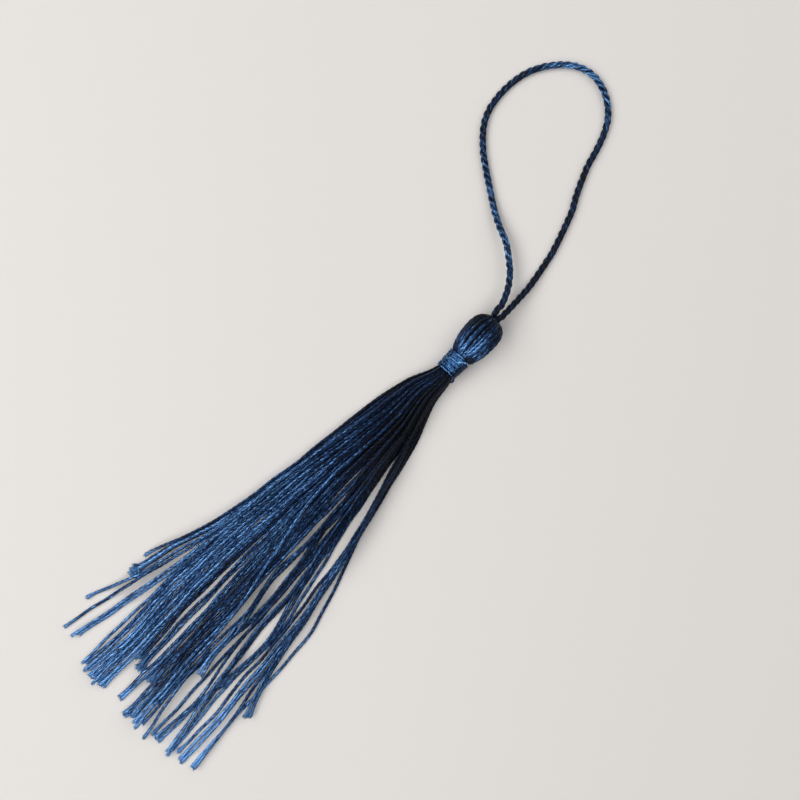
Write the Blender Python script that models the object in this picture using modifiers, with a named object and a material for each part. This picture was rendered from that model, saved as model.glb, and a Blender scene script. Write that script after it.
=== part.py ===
"""A small yarn tassel lying on a flat surface, seen best from straight above.

Twenty-eight yarns are folded over a hanging cord. The fold is the ridged, egg-shaped head, a thread is
wound round the neck, and the fifty-six cut ends below it fan out over the surface as the skirt.

The tassel is drawn in its own frame: y runs up its axis, from the skirt's tips to the head, with y = 0 where
the binding ends and the skirt starts, x runs across, and z = 0 is the surface. At the end everything moves
together, so that the origin is the middle of the tassel on the surface, its loop left out.
"""

import math
import random
from collections import namedtuple

import bmesh
import bpy
from mathutils import Vector

MM = 0.001
GAP = 0.3 * MM

# Yarn bundle: the head, the neck under the binding, and the stub that the cut ends grow from.
FOLDED_YARNS = 28
HEAD_RADIUS = 3.2 * MM
HEAD_WIDEST_Y = 8.8 * MM
HEAD_TOP_Y = 12.7 * MM
HEAD_TAPER_LENGTH = 5.97 * MM
HEAD_TOP_BLUNTNESS = 2.4
HEAD_TOP_HOLE = 0.45 * MM
HEAD_TOP_DIMPLE = 0.25 * MM
HEAD_RINGS = 11
HEAD_RIDGE = 0.20 * MM
NECK_RADIUS_TOP = 1.45 * MM
NECK_RADIUS_BOTTOM = 1.20 * MM
NECK_RIDGE = 0.05 * MM
NECK_SHOWS = 0.15 * MM  # how far the neck runs on above the binding
HEAD_START = 0.60 * MM  # the head's first ring, above the binding
BINDING_TOP_Y = 3.6 * MM
BINDING_BOTTOM_Y = 0.3 * MM
STUB_END_Y = -0.9 * MM
STUB_SHOULDER_Y = -0.35 * MM
STUB_SHOULDER_SHARE = 0.85  # how much of the stub's swelling is reached at its shoulder
STUB_HALF_WIDTH = 1.75 * MM
STUB_HALF_HEIGHT = 1.60 * MM
AXIS_HEIGHT_AT_WIDEST = 2.9 * MM
AXIS_HEIGHT_AT_STUB = 2.0 * MM
AXIS_SLOPE = (AXIS_HEIGHT_AT_WIDEST - AXIS_HEIGHT_AT_STUB) / (HEAD_WIDEST_Y - STUB_END_Y)

# Skirt: each cut end is a four-sided strand. Its sizes and places are in mm, and its distances run down from
# the neck. It narrows where the binding squeezes the bundle.
STRAND_GAP = 0.05
STRAND_SIZES = (  # distance down, width, height
    (5.0, 0.42, 0.38),
    (13.0, 0.52, 0.40),
    (44.0, 0.54, 0.50),
)
STATIONS = (5.0, 8.5, 12.5, 17.0, 22.0, 27.5, 33.0, 38.5, 44.0, 49.5, 55.0, 60.5, 66.0, 71.5)
TIP_CLEARANCE = 1.5  # the least from a strand's last station to its tip
SHOULDERS = ((5.0, -0.5, 2.9), (12.0, 0.0, 4.8))  # distance down, middle and half width of the bundle there
SKIRT_MIDDLE_HEIGHT = 1.7  # the bundle's middle above the surface at the first station
WAYPOINTS = (28.0, 44.0, 52.0, 60.0, 68.0)
YARN_SPREAD = (0.34, 0.50, 0.52, 0.55, 0.58, 0.62)  # from yarn to yarn in a lock, waypoints first, then tip
YARN_STRAY = (0.10, 0.10, 0.08, 0.10, 0.10, 0.06)  # how far a yarn may wander from that place
TIP_STRAY = 0.5  # how much longer or shorter the ends of a lock may be cut
LEVEL_STRAY = 0.9
TANGLE_SEED = 1
LEVEL_WITH = 1e-9  # stations closer than this are the same one

# Roots: each strand starts inside the stub, squeezed together with its neighbours.
ROOT_Y = -1.2 * MM
ROOT_INNER_Y = -0.5 * MM
ROOT_WIDTH_SCALE = 0.50
ROOT_HEIGHT_SCALE = 0.84
ROOT_INNER_SCALE = 0.70

Lock = namedtuple("Lock", "name yarns x_28 x_44 x_52 x_60 x_68 tip_x tip_down level")

# One row for each lock of the skirt, left to right at the tips. x_28 is where its middle lies 28 mm below the
# neck, and so on down to x_68, None where it ends sooner. Level 0 lies lowest and 3 on top.
LOCKS = (
    Lock("edge_short", 1, -7.2, -9.7, -12.2, None, None, -14.0, 56.8, 1),
    Lock("edge_tuft", 3, -6.9, -9.2, -11.2, None, None, -13.3, 60.2, 0),
    Lock("outer_left", 1, -6.5, -8.8, -10.5, -12.4, None, -15.8, 68.6, 2),
    Lock("long_left", 1, -6.2, -8.5, -10.0, -11.8, -13.6, -14.9, 74.8, 2),
    Lock("split_left", 2, -6.0, -7.9, -8.7, -9.5, -11.2, -12.6, 74.5, 2),
    Lock("left_guard", 1, -5.8, -7.5, -8.0, -8.2, -8.4, -8.5, 76.6, 1),
    Lock("broad_left", 5, -4.9, -6.4, -6.6, -6.6, -6.2, -6.8, 76.8, 1),
    Lock("broad_middle", 5, -3.3, -4.4, -4.6, -4.4, -4.3, -4.3, 77.4, 1),
    Lock("notch_left", 3, -2.5, -3.0, -3.3, -3.2, None, -2.6, 69.2, 0),
    Lock("notch_middle", 2, -1.6, -1.7, -1.65, -1.6, -1.3, -1.1, 70.4, 0),
    Lock("pair", 2, -0.9, -0.4, 0.05, 0.3, 0.3, 0.2, 76.7, 2),
    Lock("notch_right", 3, -0.3, 0.6, 0.9, 1.25, 1.4, 1.5, 70.8, 0),
    Lock("centre", 3, 0.6, 1.8, 2.1, 2.4, 2.8, 3.0, 77.6, 1),
    Lock("crossing", 1, -0.9, 1.9, 3.5, 4.1, 4.6, 5.4, 77.4, 3),
    Lock("centre_right", 2, 1.8, 2.7, 3.0, 3.3, 3.7, 4.3, 77.5, 1),
    Lock("hidden", 2, 1.4, 2.6, 3.2, 3.8, 4.4, 4.8, 73.0, 0),
    Lock("single", 1, 2.2, 4.1, 4.85, 4.9, 5.8, 7.7, 78.7, 2),
    Lock("short_right", 2, 2.8, 4.0, 5.5, 6.0, None, 6.8, 64.2, 2),
    Lock("turning_back", 2, 4.4, 6.2, 6.4, 5.7, 5.2, 5.5, 77.2, 1),
    Lock("slender", 1, 4.9, 6.7, 7.35, 7.5, 7.9, 8.3, 76.9, 1),
    Lock("leaning", 1, 5.3, 6.9, 7.1, 8.3, 9.4, 8.9, 76.6, 2),
    Lock("sweeping", 2, 5.8, 8.1, 8.4, 9.5, 10.7, 12.3, 77.4, 2),
    Lock("returning", 2, 6.8, 8.9, 10.9, 10.7, 9.8, 9.5, 77.4, 1),
    Lock("joining", 1, 7.1, 10.3, 11.4, 11.2, 11.8, 12.6, 76.4, 1),
    Lock("inner_right", 1, 8.3, 10.9, 11.9, 12.4, 13.3, 13.3, 76.1, 1),
    Lock("outer_right", 2, 8.6, 12.0, 12.9, 13.6, 14.4, 14.6, 76.6, 1),
    Lock("under_right", 1, 8.8, 12.5, 13.6, 14.8, 16.1, 17.4, 76.2, 0),
    Lock("flick_right", 2, 8.9, 12.3, 13.5, 15.6, None, 17.5, 63.9, 3),
    Lock("edge_right", 1, 9.2, 14.5, 15.5, 15.8, 16.1, 16.8, 76.3, 1),
)

# Neck binding: a ring with one soft ridge for each turn of its thread.
THREAD_TURNS = 9
BINDING_RADIUS_TOP = 2.05 * MM
BINDING_RADIUS_BOTTOM = 1.82 * MM
THREAD_GROOVE = 0.16 * MM
BINDING_SEGMENTS = 28

# Hanging loop: three plies laid round each other.
CORD_RADIUS = 0.54 * MM
CORD_GROOVE_RADIUS = 0.36 * MM
CORD_PLIES = 3
CORD_LAY = 3.9 * MM
STEPS_PER_LAY = 10
ROUTE_SAMPLES = 24  # points worked out between two of the route's own

# The loop's route from one side of the head's top to the other: x, y and height, in mm.
LOOP_ROUTE = (
    (-1.15, 13.05, 3.25), (-1.20, 14.0, 3.15), (-1.32, 14.8, 2.98), (-1.89, 16.2, 2.60), (-2.70, 17.7, 2.25),
    (-4.05, 19.4, 2.00), (-5.80, 20.9, 1.85), (-8.0, 22.5, 1.65), (-10.3, 23.5, 1.35), (-12.8, 24.8, 0.95),
    (-15.1, 26.3, 0.66), (-19.7, 29.4, 0.56), (-22.0, 31.2, 0.56), (-24.1, 33.4, 0.56), (-25.4, 35.6, 0.56),
    (-26.1, 38.4, 0.56), (-26.2, 41.6, 0.56), (-25.7, 44.7, 0.56), (-24.6, 47.3, 0.56), (-22.8, 49.8, 0.56),
    (-20.7, 51.6, 0.56), (-18.4, 52.5, 0.56), (-16.1, 52.5, 0.56), (-13.9, 51.8, 0.56), (-12.0, 50.6, 0.56),
    (-10.4, 48.9, 0.56), (-9.1, 46.5, 0.56), (-8.1, 43.6, 0.56), (-7.3, 40.9, 0.56), (-5.3, 36.5, 0.56),
    (-4.1, 34.4, 0.56), (-3.1, 31.9, 0.56), (-1.5, 27.3, 0.56), (-0.9, 24.6, 0.62), (-0.4, 22.0, 0.85),
    (-0.05, 19.5, 1.30), (0.08, 17.0, 1.95), (0.14, 14.7, 2.85), (0.15, 13.7, 3.20), (0.15, 13.05, 3.28),
)

NAVY_YARN = (0.012, 0.035, 0.110, 1.0)
BINDING_BLUE = (0.014, 0.048, 0.150, 1.0)
CORD_NAVY = (0.010, 0.026, 0.075, 1.0)
THREAD_ROUGHNESS = 0.45


def clear_scene():
    for old in list(bpy.data.objects):
        bpy.data.objects.remove(old, do_unlink=True)


def make_collection(name):
    collection = bpy.data.collections.new(name)
    bpy.context.scene.collection.children.link(collection)
    return collection


def make_material(name, colour):
    material = bpy.data.materials.new(name)
    material.use_nodes = True
    shader = material.node_tree.nodes["Principled BSDF"]
    shader.inputs["Base Color"].default_value = colour
    shader.inputs["Roughness"].default_value = THREAD_ROUGHNESS
    shader.inputs["Metallic"].default_value = 0.0
    return material


def make_object(name, mesh, collection, material):
    piece = bpy.data.objects.new(name, mesh)
    piece.data.materials.append(material)
    collection.objects.link(piece)
    return piece


def between(value, low, high):
    return max(low, min(high, value))


def add_tube(shape, rings):
    """Add a closed tube to a bmesh: one ring of points after another, with a flat cap on each end."""
    loops = [[shape.verts.new(point) for point in ring] for ring in rings]
    sides = len(loops[0])
    for near, far in zip(loops, loops[1:]):
        for k in range(sides):
            after = (k + 1) % sides
            shape.faces.new((near[k], near[after], far[after], far[k]))
    shape.faces.new(reversed(loops[0]))
    shape.faces.new(loops[-1])


def finish_mesh(shape, name, smooth_angle):
    bmesh.ops.recalc_face_normals(shape, faces=shape.faces)
    mesh = bpy.data.meshes.new(name)
    shape.to_mesh(mesh)
    shape.free()
    mesh.shade_smooth()
    mesh.set_sharp_from_angle(angle=math.radians(smooth_angle))
    return mesh


# The head, neck and stub

def axis_height(y):
    """The bundle's axis slopes down from the fat head to the flat skirt."""
    return AXIS_HEIGHT_AT_STUB + AXIS_SLOPE * (y - STUB_END_Y)


def head_radius(y):
    """Egg shape: a long taper down to the neck and a blunt top."""
    if y < HEAD_WIDEST_Y:
        along = (HEAD_WIDEST_Y - y) / HEAD_TAPER_LENGTH
        return HEAD_RADIUS * math.sqrt(1.0 - along ** 2)
    along = (y - HEAD_WIDEST_Y) / (HEAD_TOP_Y - HEAD_WIDEST_Y)
    return HEAD_RADIUS * (1.0 - along ** HEAD_TOP_BLUNTNESS) ** (1.0 / HEAD_TOP_BLUNTNESS)


def bundle_ring(y, half_width, half_height, ridge):
    """One section of the bundle, with a ridge for each folded yarn, flattened where it rests."""
    ring = []
    for k in range(2 * FOLDED_YARNS):
        angle = math.pi * k / FOLDED_YARNS
        radius = 1.0 / math.hypot(math.cos(angle) / half_width, math.sin(angle) / half_height)
        if k % 2:
            radius -= ridge
        height = axis_height(y) + radius * math.sin(angle)
        ring.append(Vector((radius * math.cos(angle), y, max(0.0, height))))
    return ring


def bundle_rings():
    """Sections from the stub's end, through the binding, to the hole in the head's top."""
    rings = []
    for y, swelling in ((STUB_END_Y, 1.0), (STUB_SHOULDER_Y, STUB_SHOULDER_SHARE), (0.0, 0.0)):
        half_width = NECK_RADIUS_BOTTOM + (STUB_HALF_WIDTH - NECK_RADIUS_BOTTOM) * swelling
        half_height = NECK_RADIUS_BOTTOM + (STUB_HALF_HEIGHT - NECK_RADIUS_BOTTOM) * swelling
        rings.append(bundle_ring(y, half_width, half_height, NECK_RIDGE))
    rings.append(bundle_ring(BINDING_TOP_Y + NECK_SHOWS, NECK_RADIUS_TOP, NECK_RADIUS_TOP, NECK_RIDGE))
    head_start = BINDING_TOP_Y + HEAD_START
    for k in range(HEAD_RINGS):
        y = head_start + (HEAD_TOP_Y - head_start) * math.sin(0.5 * math.pi * k / HEAD_RINGS)
        radius = head_radius(y)
        rings.append(bundle_ring(y, radius, radius, HEAD_RIDGE * radius / HEAD_RADIUS))
    rings.append(bundle_ring(HEAD_TOP_Y - HEAD_TOP_DIMPLE, HEAD_TOP_HOLE, HEAD_TOP_HOLE, 0.0))
    return rings


# The skirt's strands

class Strand:
    """One cut end: its middle line at the stations down to its tip, all in mm."""

    def __init__(self, waypoints, tip_x, tip_down, level):
        self.waypoints = waypoints
        self.tip_x = tip_x
        self.tip_down = tip_down
        self.level = level
        self.downs = [down for down in STATIONS if down < tip_down - TIP_CLEARANCE] + [tip_down]
        self.across = []
        self.heights = []

    def at(self, values, down):
        """The value at a distance down the strand, straight between its stations."""
        for k in range(len(self.downs) - 1):
            if down <= self.downs[k + 1] + LEVEL_WITH:
                share = (down - self.downs[k]) / (self.downs[k + 1] - self.downs[k])
                return values[k] + (values[k + 1] - values[k]) * share
        return values[-1]


def strand_size(down):
    """A strand's width and height, in mm, at a distance below the neck."""
    for (near, wide_a, high_a), (far, wide_b, high_b) in zip(STRAND_SIZES, STRAND_SIZES[1:]):
        if down <= far:
            share = between((down - near) / (far - near), 0.0, 1.0)
            return wide_a + (wide_b - wide_a) * share, high_a + (high_b - high_a) * share
    return STRAND_SIZES[-1][1:]


def round_bundle_place(share):
    """Where a yarn lies across a round bundle, -1 to 1, when this share of the yarns is left of it."""
    low, high = -1.0, 1.0
    for _ in range(30):
        middle = 0.5 * (low + high)
        left = 0.5 + (middle * math.sqrt(1.0 - middle * middle) + math.asin(middle)) / math.pi
        if left < share:
            low = middle
        else:
            high = middle
    return middle


def smooth_value(knots, down):
    """A smooth curve through (down, value) knots."""
    last = len(knots) - 2
    k = 0
    while k < last and down > knots[k + 1][0]:
        k += 1
    (d_0, v_0), (d_1, v_1) = knots[k], knots[k + 1]
    span = d_1 - d_0
    slope = (v_1 - v_0) / span
    before = knots[k - 1] if k > 0 else None
    after = knots[k + 2] if k < last else None
    slope_in = (v_1 - before[1]) / (d_1 - before[0]) if before else slope
    slope_out = (after[1] - v_0) / (after[0] - d_0) if after else slope
    t = (down - d_0) / span
    return (
        v_0 * (2 * t ** 3 - 3 * t ** 2 + 1)
        + v_1 * (3 * t ** 2 - 2 * t ** 3)
        + span * slope_in * (t ** 3 - 2 * t ** 2 + t)
        + span * slope_out * (t ** 3 - t ** 2)
    )


def fan_out():
    """Every strand's path as seen from above."""
    chance = random.Random(TANGLE_SEED)
    strands = []
    for lock in LOCKS:
        middles = (lock.x_28, lock.x_44, lock.x_52, lock.x_60, lock.x_68, lock.tip_x)
        for k in range(lock.yarns):
            place = k - 0.5 * (lock.yarns - 1)
            across = []
            for middle, spread, stray in zip(middles, YARN_SPREAD, YARN_STRAY):
                offset = place * spread + chance.uniform(-stray, stray)
                across.append(None if middle is None else middle + offset)
            waypoints = [(down, x) for down, x in zip(WAYPOINTS, across) if x is not None]
            tip_down = lock.tip_down
            if lock.yarns > 1:
                tip_down += chance.uniform(-TIP_STRAY, TIP_STRAY)
            level = lock.level + chance.uniform(-LEVEL_STRAY, LEVEL_STRAY)
            strands.append(Strand(waypoints, across[-1], tip_down, level))
    strands.sort(key=lambda strand: strand.waypoints[0][1])
    for rank, strand in enumerate(strands):
        place = round_bundle_place((rank + 0.5) / len(strands))
        shoulders = [(down, middle + half_width * place) for down, middle, half_width in SHOULDERS]
        knots = shoulders + strand.waypoints + [(strand.tip_down, strand.tip_x)]
        strand.across = [smooth_value(knots, down) for down in strand.downs]
    return strands


def crowded_stretches(one, other):
    """The stretches, as (start, end) below the neck, where two strands would share the same place."""
    end = min(one.tip_down, other.tip_down)
    downs = [down for down in STATIONS if down < end - LEVEL_WITH] + [end]
    stretches = []
    for start, stop in zip(downs, downs[1:]):
        apart = [one.at(one.across, down) - other.at(other.across, down) for down in (start, stop)]
        room = [abs(distance) - strand_size(down)[0] for distance, down in zip(apart, (start, stop))]
        if apart[0] * apart[1] < 0.0 or min(room) < STRAND_GAP:
            stretches.append((start, stop))
    return stretches


def lay_down(strands):
    """Give each strand the lowest layer free of its neighbours, then let it sink onto those below it."""
    count = len(strands)
    crowding = {}
    for i in range(count):
        for j in range(i):
            crowding[i, j] = crowding[j, i] = crowded_stretches(strands[i], strands[j])
    layers = {}
    for i in sorted(range(count), key=lambda index: strands[index].level):
        taken = {layers[j] for j in layers if crowding[i, j]}
        layers[i] = next(layer for layer in range(count) if layer not in taken)
    laid = []
    for i in sorted(layers, key=lambda index: (layers[index], index)):
        strand = strands[i]
        strand.heights = [0.5 * strand_size(down)[1] for down in strand.downs]
        for j in laid:
            for stretch in crowding[i, j]:
                rest_on(strand, strands[j], stretch)
        laid.append(i)


def rest_on(strand, below, stretch):
    """Lift a strand's stations over a stretch so that it clears the strand below it."""
    for down in stretch:
        needed = below.at(below.heights, down) + strand_size(down)[1] + STRAND_GAP
        for k, station in enumerate(strand.downs):
            level_with = abs(station - down) < LEVEL_WITH
            above = station < down < strand.downs[min(k + 1, len(strand.downs) - 1)]
            beneath = strand.downs[max(k - 1, 0)] < down < station
            if level_with or above or beneath:
                strand.heights[k] = max(strand.heights[k], needed)


def strand_section(x, y, z, width, height):
    """A four-sided section round a place."""
    corners = ((-0.5, -0.5), (0.5, -0.5), (0.5, 0.5), (-0.5, 0.5))
    return [Vector((x + side * width, y, z + up * height)) for side, up in corners]


def root_section(strand, y, squeeze):
    """The strand's section near its root, drawn in towards the middle of the bundle."""
    width, height = (size * MM for size in strand_size(STATIONS[0]))
    across = (strand.across[0] - SHOULDERS[0][1]) * MM
    upward = (strand.heights[0] - SKIRT_MIDDLE_HEIGHT) * MM
    wide = ROOT_WIDTH_SCALE * squeeze
    high = ROOT_HEIGHT_SCALE * squeeze
    return strand_section(across * wide, y, axis_height(y) + upward * high, width * wide, height * high)


def strand_rings(strand):
    """Sections from the strand's root inside the stub to its blunt cut end."""
    rings = [root_section(strand, ROOT_INNER_Y, ROOT_INNER_SCALE), root_section(strand, ROOT_Y, 1.0)]
    for down, across, upward in zip(strand.downs, strand.across, strand.heights):
        width, height = strand_size(down)
        rings.append(strand_section(across * MM, -down * MM, upward * MM, width * MM, height * MM))
    return rings


def make_yarn_bundle(parts, cutters):
    """The head and neck with every strand of the skirt fused to it by its root."""
    yarn = make_material("navy_yarn", NAVY_YARN)
    skirt = bmesh.new()
    strands = fan_out()
    lay_down(strands)
    for strand in strands:
        add_tube(skirt, strand_rings(strand))
    strands_piece = make_object("skirt_strands", finish_mesh(skirt, "skirt_strands", 40.0), cutters, yarn)
    strands_piece.hide_render = True
    strands_piece.display_type = "WIRE"
    bundle = bmesh.new()
    add_tube(bundle, bundle_rings())
    head = make_object("tassel_yarns", finish_mesh(bundle, "tassel_yarns", 60.0), parts, yarn)
    join = head.modifiers.new("fuse_roots", "BOOLEAN")
    join.operation = "UNION"
    join.solver = "EXACT"
    join.object = strands_piece
    return head, strands_piece


# The neck binding

def make_binding(parts):
    """A turned ring round the neck, its outer side ridged by the thread, drawn at +X from top to bottom."""
    length = BINDING_TOP_Y - BINDING_BOTTOM_Y
    outline = []
    for k in range(2 * THREAD_TURNS + 1):
        share = k / (2 * THREAD_TURNS)
        radius = BINDING_RADIUS_TOP + (BINDING_RADIUS_BOTTOM - BINDING_RADIUS_TOP) * share
        outline.append((radius - (0.0 if k % 2 else THREAD_GROOVE), length * (0.5 - share)))
    outline.append((NECK_RADIUS_BOTTOM + GAP, -0.5 * length))
    outline.append((NECK_RADIUS_TOP + GAP, 0.5 * length))
    profile = bmesh.new()
    corners = [profile.verts.new((radius, 0.0, z)) for radius, z in outline]
    for corner, following in zip(corners, corners[1:] + corners[:1]):
        profile.edges.new((corner, following))
    mesh = bpy.data.meshes.new("neck_binding")
    profile.to_mesh(mesh)
    profile.free()
    ring = make_object("neck_binding", mesh, parts, make_material("binding_thread", BINDING_BLUE))
    turn = ring.modifiers.new("turn", "SCREW")
    turn.axis = "Z"
    turn.angle = 2.0 * math.pi
    turn.steps = BINDING_SEGMENTS
    turn.render_steps = BINDING_SEGMENTS
    turn.use_merge_vertices = True
    turn.merge_threshold = 0.00001
    middle = 0.5 * (BINDING_TOP_Y + BINDING_BOTTOM_Y)
    ring.location = (0.0, middle, axis_height(middle))
    ring.rotation_euler.x = math.atan(AXIS_SLOPE) - 0.5 * math.pi
    return ring


# The hanging loop

def smooth_route(points, step):
    """Points about a step apart on a smooth curve through the given ones."""
    padded = [2 * points[0] - points[1]] + points + [2 * points[-1] - points[-2]]
    fine = []
    for before, start, end, after in zip(padded, padded[1:], padded[2:], padded[3:]):
        for k in range(ROUTE_SAMPLES):
            t = k / ROUTE_SAMPLES
            fine.append(0.5 * (
                2 * start
                + (end - before) * t
                + (2 * before - 5 * start + 4 * end - after) * t ** 2
                + (3 * start - before - 3 * end + after) * t ** 3
            ))
    fine.append(points[-1])
    lengths = [0.0]
    for start, end in zip(fine, fine[1:]):
        lengths.append(lengths[-1] + (end - start).length)
    steps = round(lengths[-1] / step)
    route = []
    k = 0
    for n in range(steps + 1):
        wanted = lengths[-1] * n / steps
        while k < len(fine) - 2 and lengths[k + 1] < wanted:
            k += 1
        share = (wanted - lengths[k]) / (lengths[k + 1] - lengths[k])
        route.append(fine[k].lerp(fine[k + 1], between(share, 0.0, 1.0)))
    return route


def make_hanging_loop(parts):
    """The twisted cord: a ridged section that turns as it follows the route."""
    step = CORD_LAY / STEPS_PER_LAY
    route = smooth_route([Vector(point) * MM for point in LOOP_ROUTE], step)
    rings = []
    for k, centre in enumerate(route):
        along = (route[min(k + 1, len(route) - 1)] - route[max(k - 1, 0)]).normalized()
        sideways = along.cross(Vector((0.0, 0.0, 1.0))).normalized()
        upward = sideways.cross(along)
        twist = 2.0 * math.pi * k / STEPS_PER_LAY
        ring = []
        for corner in range(2 * CORD_PLIES):
            angle = twist + math.pi * corner / CORD_PLIES
            radius = CORD_GROOVE_RADIUS if corner % 2 else CORD_RADIUS
            ring.append(centre + radius * (math.cos(angle) * sideways + math.sin(angle) * upward))
        rings.append(ring)
    cord = bmesh.new()
    add_tube(cord, rings)
    return make_object(
        "hanging_loop", finish_mesh(cord, "hanging_loop", 60.0), parts, make_material("loop_cord", CORD_NAVY)
    )


def stand_on_middle(measured, pieces):
    """Move all pieces so that the measured ones' middle is over the origin."""
    view = bpy.context.evaluated_depsgraph_get()
    places = []
    for piece in measured:
        seen = piece.evaluated_get(view)
        places.extend(seen.matrix_world @ vertex.co for vertex in seen.data.vertices)
    xs = [place.x for place in places]
    ys = [place.y for place in places]
    frame = bpy.data.objects.new("tassel_frame", None)
    bpy.context.scene.collection.objects.link(frame)
    for piece in pieces:
        piece.parent = frame
    frame.location = (-0.5 * (min(xs) + max(xs)), -0.5 * (min(ys) + max(ys)), 0.0)


def main():
    clear_scene()
    parts = make_collection("tassel")
    cutters = make_collection("cutters")
    yarns, strands = make_yarn_bundle(parts, cutters)
    binding = make_binding(parts)
    loop = make_hanging_loop(parts)
    stand_on_middle((yarns, binding), (yarns, strands, binding, loop))


main()
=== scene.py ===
"""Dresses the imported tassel: real twisted yarn, wound thread and laid cord take the plain solids' places.

The tassel is drawn in its own frame, in mm: y runs up its axis from the cut ends to the head, with y = 0
where the neck's binding ends and the skirt starts, x runs across, and z = 0 is the surface it lies on.
"""

import math
import random
from collections import namedtuple

import bpy
import numpy as np
from mathutils import Matrix, Vector


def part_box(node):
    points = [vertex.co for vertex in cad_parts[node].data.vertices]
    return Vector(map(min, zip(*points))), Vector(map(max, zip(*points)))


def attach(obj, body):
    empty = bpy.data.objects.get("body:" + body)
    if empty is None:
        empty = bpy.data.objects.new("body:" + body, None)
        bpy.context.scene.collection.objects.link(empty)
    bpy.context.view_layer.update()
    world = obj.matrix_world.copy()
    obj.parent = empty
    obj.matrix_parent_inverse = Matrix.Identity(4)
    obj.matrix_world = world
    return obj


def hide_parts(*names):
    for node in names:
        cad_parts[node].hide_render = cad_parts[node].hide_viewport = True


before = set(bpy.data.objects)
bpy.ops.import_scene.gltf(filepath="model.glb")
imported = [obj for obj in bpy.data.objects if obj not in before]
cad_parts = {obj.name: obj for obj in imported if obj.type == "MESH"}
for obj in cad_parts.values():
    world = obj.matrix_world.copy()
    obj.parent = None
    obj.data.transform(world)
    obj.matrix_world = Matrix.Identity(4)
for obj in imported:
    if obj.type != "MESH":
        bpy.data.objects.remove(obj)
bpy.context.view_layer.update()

MM = 0.001
TURN = 2.0 * math.pi
UP = np.array((0.0, 0.0, 1.0))

# The camera looks straight down on the surface, turned so that the tassel lies from lower left to
# upper right.
PHOTO_WIDTH = 133.6  # how much of the surface the view takes in
PHOTO_CENTRE = (-2.0, -8.34)
LENS = 50.0
SENSOR = 36.0
NEAREST_SEEN = 0.01
RIGHT_IN_PHOTO = Vector((1.0, 1.0, 0.0)).normalized()
UP_IN_PHOTO = Vector((-1.0, 1.0, 0.0)).normalized()

# Yarn: three plies, Z-twisted.
TWIST_Z = 1.0
TWIST_S = -1.0
PLIES = 3
YARN_LAY = 3.0
YARN_STEP = 0.29
PLY_RADIUS = 0.175
PLY_OFFSET = 0.120
PLY_SIDES = 6
PLY_TIP = 0.55  # the radius at a ply's very end, next to the rest of it
YARN_RADIUS = PLY_RADIUS + PLY_OFFSET
ANY_PHASE = 6.3  # radians: a twist or a wave starts anywhere up to a whole turn
FIBRE_LEAN = 0.30  # how far a ply's own fibres wander round it, for each mm along
STREAKS_SHIFT = 17.3  # each tube's streaks start this much further on than the last one's

# Cut ends: how far each one has come open, where 0 is a neat cut and 1 a burst tuft.
END_FRAYS = (0.0, 0.30)
FRAYED_LOCKS = {
    "edge_tuft": 1.0, "edge_clump": 1.0, "edge_tangle": 1.0,
    "notch_left": 0.6, "notch_middle": 0.65, "notch_right": 0.6,
}
FRAY_SEED = 3
# From here to END_PALENESS, each pair is for a neat cut and for a tuft.
END_FIBRES = (6, 20)  # to each ply
END_STOPS_SHORT = (-0.30, -1.10)
END_PASSES = (0.28, 0.45)
END_SPREADS_LEAST = (0.04, 0.12)
END_SPREADS_MOST = (0.15, 0.80)
END_TONES = (0.0, -0.16)  # next to the yarn
END_PALENESS = (0.40, 0.10)
END_ROUNDING = 0.8  # the fibres that spread widest stop soonest
FIBRE_SEED = 8
FIBRE_STARTS = 8  # points back from the ply's end
FIBRE_OFFSET = 0.07  # from the ply's middle line, where a fibre leaves it
FIBRE_POINTS = 6
FIBRE_SIDES = 5
FIBRE_RADII = (0.075, 0.055)  # at its start and its tip; each stands for a bundle of real, finer ones
FIBRE_LOWEST = 0.05
FIBRE_TIP_PALER = 0.3

# Head: an egg of folded yarns over a filling drawn dark as painted shade.
HEAD_SEED = 11
HEAD_YARNS = 36
HEAD_OUTLINE = (  # y, radius over the yarns
    (1.2, 1.35), (2.8, 1.42), (3.6, 1.68), (4.0, 2.08), (4.4, 2.36), (5.0, 2.56), (5.7, 2.76),
    (6.8, 2.99), (7.8, 3.07), (8.6, 3.10), (9.3, 3.07), (10.0, 2.97), (10.6, 2.78), (11.1, 2.46),
    (11.5, 2.00), (11.75, 1.42), (11.88, 0.90), (11.8, 0.50), (11.4, 0.32),
)
HEAD_LEAN = (4.0, 9.0, -0.14)  # the head sits this far to one side by the second y
HEAD_STRAY = 0.18  # how far a yarn strays from its place, of the room from one to the next
HEAD_SWAYS = (0.10, 0.05)  # in radians: one bow from end to end, and a wave
HEAD_WAVE_RATE = 5.0
# The yarns crowd in the neck and round the hole in the top, so that some of them lie deeper there.
NECK_DEPTHS = (0.0, 0.14, 0.24)
NECK_CROWDED = (0.15, 0.38)  # shares of a yarn's length, as below
TOP_DEPTHS = (0.0, 0.16, 0.28)
TOP_CROWDED = (0.72, 0.88)
LEAST_HEAD_RADIUS = 0.05
FILLING_YARNS = 30
FILLING_INSET = 0.42
FILLING_RADIUS = 0.30
FILLING_SIDES = 6
# Painted shade: what lies under the head's yarns and under the binding's thread is drawn dark.
HIDDEN_PAINTED_SHADE = -0.35  # of what lies under the head's yarns and under the binding's thread
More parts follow.
